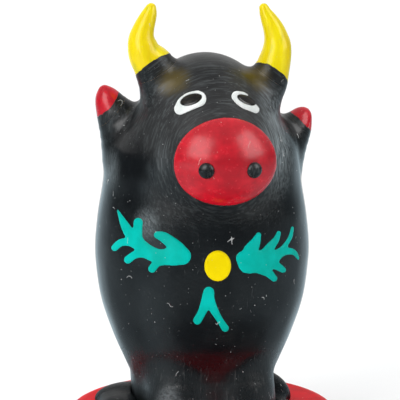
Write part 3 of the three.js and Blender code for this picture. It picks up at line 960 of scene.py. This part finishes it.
def lacquer(look):
    """Glossy black paint over carved wood, brushed round the face and down the legs, a little scuffed;
    painted sheen, highlights and horn reflections.
    """
    x, y, z = look.parts(look.moved(SNOUT_CENTRE))
    radius = look.math("SQRT", x * x + z * z)
    angle = look.math("ARCTAN2", z, x)

    def round_the_face(across, along):
        return look.join(radius * across, y * across, angle * along)

    face_brush = look.noise(round_the_face(2.6, 3.2), detail=3.0, roughness=0.6)
    scratch = look.noise(round_the_face(4.5, 4.5), detail=2.0, roughness=0.6, distortion=0.6)
    leg_brush = look.noise(look.stretched((0.5, 0.5, 3.0)), detail=4.0, roughness=0.65, distortion=0.8)
    body_scuff = look.noise(look.stretched((0.6, 0.6, 2.6)), detail=3.0, roughness=0.65, distortion=1.0)
    peel = look.noise(look.stretched(1.4))
    broad = look.stretched((7.0, 7.0, 9.0))
    carving_marks = look.noise(broad, detail=1.0)
    cool = look.ramp(look.noise(broad), 0.38, 0.66)

    on_muzzle = look.ramp(look.y, -12, -16) * look.ramp(look.height, 38, 46)
    face = look.math("MAXIMUM", look.ramp(look.height, 51, 62), on_muzzle)
    legs = look.ramp(look.height, 18, 9)
    over_snout = look.ramp(radius, 18, 12) * look.ramp(look.y, -8, -12) * look.ramp(z, -3, 3)

    colour = look.tint(cool, WARM_BLACK, COOL_BLACK)
    # Brush haze and painted sheen: grey streaks round the face that stand partly for the lights' broad
    # sheen on the lacquer.
    haze_and_sheen = look.ramp(face_brush, 0.47, 0.66) * look.mix(face, 0.10, 0.95)
    colour = look.tint(haze_and_sheen * look.mix(cool, 0.45, 1.0), colour, HAZE_AND_SHEEN)
    # Painted highlights: grey laid into the colour where the lights would reflect off the lacquer.
    for place, reach, strength in PAINTED_HIGHLIGHTS:
        gap = look.length(look.stretched(reach, look.moved(over_base(*place))))
        painted_highlight = look.ramp(gap, 1.0, 0.15) * look.ramp(face_brush, 0.34, 0.66, 0.15, strength)
        colour = look.tint(painted_highlight, colour, HIGHLIGHT_GREY)
    scratched = look.ramp(scratch, 0.62, 0.72) * look.mix(face, 0.0, 0.5)
    scuffed = look.ramp(body_scuff, 0.64, 0.76) * look.mix(cool, 0.10, 0.35)
    streaks = look.ramp(leg_brush, 0.59, 0.70) * legs * 0.35
    marks = look.math("MAXIMUM", scratched, look.math("MAXIMUM", scuffed, streaks))
    colour = look.tint(marks, colour, SCRATCHED)
    # Painted reflection of the yellow horns: olive patches on the forehead.
    for place in HORN_REFLECTION_PLACES:
        gap = (face_brush - 0.5) * 2.4 + look.length(look.moved(over_base(*place)))
        colour = look.tint(look.ramp(gap, HORN_REFLECTION_REACH, 0.8, 0.0, 0.9), colour, HORN_REFLECTION_OLIVE)

    brush = face * face_brush + legs * leg_brush * 2.4
    roughness = brush * 0.12 + cool * 0.07 + 0.14
    roughness = roughness + face * 0.14 + over_snout * 0.25
    height = brush * 0.045 + peel * 0.010 + carving_marks * 0.20
    return over(look, look.wear(), (LINT, 0.7, height), (colour, roughness, height))


def enamel_paint(look, dark, light, grain=1.6, rough=0.2, relief=0.012):
    """Thick glossy paint whose tone and surface follow the brush."""
    grain = np.array(grain) * np.ones(3)
    brush = look.noise(look.stretched(grain.tolist()), detail=3.0, roughness=0.6)
    patches = look.noise(look.stretched((3 * grain).tolist()))
    colour = look.tint(look.ramp(brush * 0.5 + patches * 0.5, 0.35, 0.65), dark, light)
    colour = look.tint(look.wear() * 0.5, colour, (0.8, 0.75, 0.7))
    return colour, brush * 0.12 + (rough - 0.06), brush * relief


def red(look):
    return enamel_paint(look, (0.43, 0.0015, 0.012), (0.64, 0.003, 0.018), rough=0.24)


def snout_red(look):
    colour, roughness, height = red(look)
    return colour, roughness + 0.02, height


def base_red(look):
    return enamel_paint(look, (0.60, 0.0, 0.006), (0.78, 0.0, 0.010), grain=3.0, rough=0.4)


def yellow(look):
    """Brushed up the horn, a little green in streaks."""
    colour, roughness, height = enamel_paint(look, (0.88, 0.66, 0.0), (1.0, 0.84, 0.0),
                                             grain=(2.2, 2.2, 9.0), relief=0.006)
    streak = look.ramp(look.noise(look.stretched((1.6, 1.6, 9.0)), detail=1.0), 0.56, 0.74)
    return look.tint(streak * 0.45, colour, (0.46, 0.52, 0.01)), roughness, height


def teal(look):
    return enamel_paint(look, (0.0, 0.45, 0.37), (0.0, 0.57, 0.50), grain=3.5, rough=0.3)


def white(look):
    return enamel_paint(look, (0.78, 0.84, 0.82), (0.90, 0.93, 0.92), grain=1.0, rough=0.25, relief=0.01)


def dot_yellow(look):
    return enamel_paint(look, (0.95, 0.74, 0.0), (1.0, 0.80, 0.0), grain=2.5, rough=0.3, relief=0.004)


def nostril_black(look):
    colour, roughness, height = lacquer(look)
    return colour, roughness * 0.45 + 0.07, height


def pupil_black(look):
    """Black with a trace of brown, smoother than the lacquer round it."""
    patches = look.noise(look.stretched((1.2, 0.7, 0.7)))
    colour = look.tint(look.ramp(patches, 0.4, 0.7), (0.002, 0.002, 0.002), (0.012, 0.009, 0.004))
    return colour, patches * 0.1 + 0.12, patches * 0.01


def wood(look):
    """Pale fine-grained copal, cut across or sanded."""
    grain = look.noise(look.stretched((0.35, 0.35, 6.0)), detail=4.0, roughness=0.65)
    rings = look.noise(look.stretched((2.2, 2.2, 14.0)), detail=1.0)
    colour = look.tint(look.ramp(grain, 0.3, 0.75), (0.42, 0.24, 0.10), (0.70, 0.47, 0.23))
    colour = look.tint(look.ramp(rings, 0.45, 0.6, 0.0, 0.35), colour, (0.50, 0.29, 0.12))
    return colour, grain * 0.2 + 0.55, grain * 0.04


def felt_surface(look):
    fibres = look.noise(look.stretched(0.25), detail=5.0, roughness=0.7, distortion=2.0)
    colour = look.tint(look.ramp(fibres, 0.3, 0.7), (0.008, 0.009, 0.011), (0.035, 0.038, 0.042))
    return colour, fibres * 0.1 + 0.85, fibres * 0.12


def zinc_surface(look):
    grain = look.noise(look.stretched(0.2), detail=3.0)
    return look.tint(grain, (0.45, 0.46, 0.45), (0.72, 0.72, 0.68)), grain * 0.2 + 0.28, grain * 0.01


def seat_line(look, piece, reach, tilt=0.0, wobble=0.35):
    """1 above a line round a piece, some millimetres out along the way it pulls off."""
    info = PULLED[piece]
    direction = tuple(info["pull"] + np.array([0.0, tilt, 0.0]))
    height = look.vector("DOT_PRODUCT", look.moved(info["cut"]), direction, out="Value")
    unsteady = look.noise(look.stretched(2.2)) - 0.5
    return look.ramp(unsteady * (2 * wobble) + height - reach, -0.06, 0.06)


HOOF_HIGH = 2.6
HORN_LINE = {"right_horn": 1.6, "left_horn": 1.0}
EAR_LINE = {"right_ear": 1.7, "left_ear": 1.0}


def body_material():
    look = Look("black_lacquer")
    toes = look.ramp(look.height, HOOF_HIGH + 0.05, HOOF_HIGH - 0.05) * look.ramp(look.y, -12.5, -12.7)
    return look.finish(over(look, toes, red(look), lacquer(look)))


def horn_material(piece):
    look = Look(piece + "_paint", HORN_GLOSS)
    mask = seat_line(look, piece, HORN_LINE[piece], tilt=0.42)
    return look.finish(over(look, mask, yellow(look), lacquer(look)))


def ear_material(piece):
    look = Look(piece + "_paint")
    mask = seat_line(look, piece, EAR_LINE[piece], wobble=0.5)
    return look.finish(over(look, mask, red(look), lacquer(look)))


def tail_material(piece):
    look = Look(piece + "_paint")
    start = PULLED[piece]["seat"][2] + 16.5
    line = look.noise(look.stretched(1.5)) * 1.2 + look.z
    return look.finish(over(look, look.ramp(line, start, start + 0.12), red(look), lacquer(look)))


def leg_material(name):
    look = Look(name + "_paint", LEG_GLOSS)
    foot, reach = LEGS[name][1]
    front = foot[1] - reach[1]
    hoof = look.ramp(look.y, front + 3.4, front + 3.3)
    return look.finish(over(look, hoof, red(look), lacquer(look)))


def plain_material(name, surface, uniform=GLOSSY):
    look = Look(name, uniform)
    return look.finish(surface(look))


# ---- assembly ----

def add(name, bm, materials, body, slot, *nodes):
    """Makes a piece ride on its body and stand for its CAD nodes. The slot it is given is not used."""
    piece = finish_mesh(name, bm)
    for material in materials:
        piece.data.materials.append(material)
    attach(piece, body)
    if nodes:
        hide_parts(*nodes)
    return piece


def add_pulled(name, bm, bare):
    """A piece that pulls off, and its dowel, on its own body."""
    if "horn" in name:
        paint, slot = horn_material(name), "yellow_paint"
    elif "ear" in name:
        paint, slot = ear_material(name), "red_paint"
    else:
        paint, slot = tail_material(name), "black_lacquer"
    body, pin_name, info = name + "_piece", name + "_dowel", PULLED[name]
    add("carved_" + name, bm, [paint, bare], body, slot, name)
    pin = dowel(pin_name, info["pull"], DOWEL_RADIUS[info["kind"]])
    add("fluted_" + pin_name, pin, [bare], body, "bare_wood", pin_name)


SNOUT_DOWEL_RADIUS = 2.0


def assemble():
    carving, pulled = carve()
    black = body_material()
    bare = plain_material("bare_wood", wood)
    add("carved_body", carving, [black, bare], "figure", "black_lacquer", "body_block")
    for name, bm in pulled.items():
        add_pulled(name, bm, bare)
    for name in LEGS:
        add("carved_" + name, hind_leg(name), [leg_material(name), bare], "figure", "black_lacquer", name)
    snout_paint = plain_material("snout_red", snout_red)
    add("domed_snout", snout(), [snout_paint], "figure", "red_paint", "snout_disc")
    glossy = plain_material("nostril_black", nostril_black)
    for side in ("right", "left"):
        name = side + "_nostril_stud"
        add("domed_" + name, nostril(side), [glossy], "figure", "black_lacquer", name)
        name = side + "_leg_dowel"
        add("fluted_" + name, dowel(name, LEFT, LEG_DOWEL_RADIUS), [bare], "figure", "bare_wood", name)
    name = "snout_dowel"
    add("fluted_" + name, dowel(name, FRONT, SNOUT_DOWEL_RADIUS), [bare], "figure", "bare_wood", name)
    base_paint = plain_material("base_red", base_red, BASE_GLOSS)
    add("turned_base", base(), [base_paint], "figure", "red_paint", "base_disc")
    pressed = plain_material("pressed_felt", felt_surface, {"Sheen Weight": 0.4, "Sheen Roughness": 0.6})
    add("cut_felt_pad", felt(), [pressed], "figure", "felt", "felt_pad")
    zinc = plain_material("zinc_plate", zinc_surface, {"Metallic": 1.0})
    for side in ("right", "left"):
        screw = frame["nodes"][side + "_base_screw"]
        screw.data.materials.clear()
        screw.data.materials.append(zinc)
    enamels = {
        "teal": (plain_material("teal_enamel", teal, SATIN), "teal_paint"),
        "yellow_dot": (plain_material("yellow_enamel", dot_yellow, SATIN), "yellow_paint"),
        "white": (plain_material("white_enamel", white), "white_paint"),
        "pupil": (plain_material("pupil_enamel", pupil_black), "black_lacquer"),
    }
    for name, bm, paint in paint_pieces():
        material, slot = enamels[paint]
        add(name, bm, [material], "figure", slot)


# ---- studio ----

TARGET = np.array([-0.76, -2.0, 50.06]) * MM
CAMERA_DISTANCE = 1.3
VIEW_WIDTH = 0.080  # what the picture takes in at the target


def aim(thing, place, target):
    thing.location = place
    thing.rotation_euler = (Vector(target) - Vector(place)).to_track_quat("-Z", "Y").to_euler()


def camera():
    data = bpy.data.cameras.new("photo_angle")
    data.angle = 2 * math.atan(VIEW_WIDTH / 2 / CAMERA_DISTANCE)
    data.clip_start = 0.01
    data.clip_end = 20
    thing = link_object("photo_angle", data)
    aim(thing, TARGET + CAMERA_DISTANCE * TOWARDS, TARGET)
    bpy.context.scene.camera = thing


def softbox(name, place, target, size, radiance, in_gloss):
    """A rectangular light of about this brightness. It either shows in the gloss or lights the paint."""
    data = bpy.data.lights.new(name, "AREA")
    data.shape = "RECTANGLE"
    data.size, data.size_y = size
    data.energy = radiance * math.pi * size[0] * size[1]
    thing = link_object(name, data)
    aim(thing, place, target)
    thing.visible_camera = False
    thing.visible_glossy = in_gloss
    thing.visible_diffuse = not in_gloss


def floor():
    bm = bmesh.new()
    bmesh.ops.create_grid(bm, x_segments=1, y_segments=1, size=4000)
    plane = finish_mesh("studio_floor", bm)
    look = Look("studio_paper", {"Roughness": 0.9})
    tone = look.noise(look.stretched(300.0))
    colour = look.tint(tone, (0.86, 0.86, 0.86), (0.90, 0.90, 0.90))
    look.link(colour, look.shader.inputs["Base Color"])
    plane.data.materials.append(look.material)


# The card's section, from its edge round the base up: distance from the axis, and height.
CARD_SECTION = [(28.4, 0.4), (90, 0.4), (130, 4), (152, 18), (160, 45), (160, 85)]
CARD_SPAN = math.radians(158)  # how far round it goes, each way from the front
CARD_STRIPS = 60
CARD_TINT = (0.80, 1.0, 1.10)


def card_mesh():
    bm = bmesh.new()
    rows = []
    for angle in np.linspace(-CARD_SPAN, CARD_SPAN, CARD_STRIPS + 1):
        way = -math.pi / 2 - TURN + angle
        rows.append([bm.verts.new((r * math.cos(way), r * math.sin(way), z)) for r, z in CARD_SECTION])
    for a, b in zip(rows[:-1], rows[1:]):
        for i in range(len(CARD_SECTION) - 1):
            bm.faces.new((a[i], a[i + 1], b[i + 1], b[i]))
    return finish_mesh("dark_card", bm)


def card_grey(look):
    """How bright the card is at each height and way round, in degrees, plus to the figure's left."""
    turned = look.node("ShaderNodeVectorRotate", {"Vector": look.place, "Angle": TURN},
                       rotation_type="Z_AXIS")
    x, y, z = look.parts(turned)
    way = look.math("ARCTAN2", x, y * -1.0) * math.degrees(1)
    off_axis = look.math("ABSOLUTE", way)
    radius = look.math("SQRT", x * x + y * y)
    high = look.ramp(z, 15, 60)
    leftness = look.ramp(way, -60, 60)
    by_the_base = look.ramp(way, -60, 25, 0.75, 0.2) + look.ramp(way, 70, 95, 0.0, 0.8)
    low_grey = look.ramp(off_axis, 15, 70, 0.25, 0.40)
    low_grey = low_grey * look.mix(look.ramp(radius, 62, 38), 1.0, by_the_base)
    high_grey = look.ramp(off_axis, 15, 45, 0.18, 0.08)
    side_on = off_axis + look.ramp(way, -60, 60, 3.0, 0.0)
    ends = look.mix(leftness, look.mix(high, 0.58, 1.04), look.mix(high, 0.47, 0.48))
    ends = look.ramp(side_on, 110, 146) * ends
    by_height = look.ramp(z, 1, 6, 0.25, 0.04) + look.ramp(z, 6, 13, 0.0, 0.2)
    by_height = by_height + look.ramp(z, 18, 36, 0.0, 0.8)
    patch = look.ramp(way, -16, -44) * look.ramp(way, -78, -54)
    patch = patch * (by_height * look.ramp(z, 52, 40))
    return look.mix(high, low_grey, high_grey) + ends + patch


def dark_card():
    """A curved grey card round the front and sides, seen only in the gloss of the figure."""
    card = card_mesh()
    look = Look("dark_card", {"Roughness": 1.0, "Base Color": (0, 0, 0, 1), "Emission Strength": 1.0})
    tone = look.vector("SCALE", CARD_TINT, scale=card_grey(look))
    look.link(tone, look.shader.inputs["Emission Color"])
    card.data.materials.append(look.material)
    card.visible_camera = card.visible_diffuse = False
    card.visible_shadow = card.visible_transmission = False


def world_light():
    """Bright behind the figure, dimmer in front."""
    world = bpy.data.worlds.new("studio_world")
    bpy.context.scene.world = world
    world.use_nodes = True
    nodes, links = world.node_tree.nodes, world.node_tree.links
    split = nodes.new("ShaderNodeSeparateXYZ")
    links.new(nodes.new("ShaderNodeTexCoord").outputs["Generated"], split.inputs[0])
    fade = nodes.new("ShaderNodeMapRange")
    fade.interpolation_type = "SMOOTHSTEP"
    for socket, value in (("From Min", -0.2), ("From Max", 0.95), ("To Min", 0.36), ("To Max", 0.75)):
        fade.inputs[socket].default_value = value
    links.new(split.outputs[1], fade.inputs["Value"])
    links.new(fade.outputs[0], nodes["Background"].inputs["Strength"])
    nodes["Background"].inputs["Color"].default_value = (1, 1, 1, 1)


FIGURE_MIDDLE = np.array([0, 0, 0.055])
SOFTBOX_DISTANCE = 0.45
# Name, degrees round from the camera (plus is to the figure's left), degrees up, size in metres,
# brightness, and whether it shows in the gloss (or else lights the paint).
SOFTBOXES = [
    ("right_softbox", -37, 24, (0.28, 0.52), 3.9, True),
    ("left_softbox", 68, 24, (0.28, 0.48), 3.4, True),
    ("key_light", -37, 24, (0.27, 0.34), 3.9, False),
]
FILL_PLACE, FILL_TARGET = (0, 0.7, 1.4), (0, 0.7, 0)


def way_from_camera(turn, rise):
    turn, rise = math.radians(turn) - TURN, math.radians(rise)
    return np.array([math.sin(turn) * math.cos(rise), -math.cos(turn) * math.cos(rise), math.sin(rise)])


def studio():
    floor()
    dark_card()
    world_light()
    for name, turn, rise, size, radiance, in_gloss in SOFTBOXES:
        place = FIGURE_MIDDLE + SOFTBOX_DISTANCE * way_from_camera(turn, rise)
        softbox(name, place, FIGURE_MIDDLE, size, radiance, in_gloss)
    softbox("top_fill", FILL_PLACE, FILL_TARGET, (3.0, 3.0), 1.2, in_gloss=False)
    bpy.context.scene.view_settings.view_transform = "Standard"


camera()
assemble()
studio()
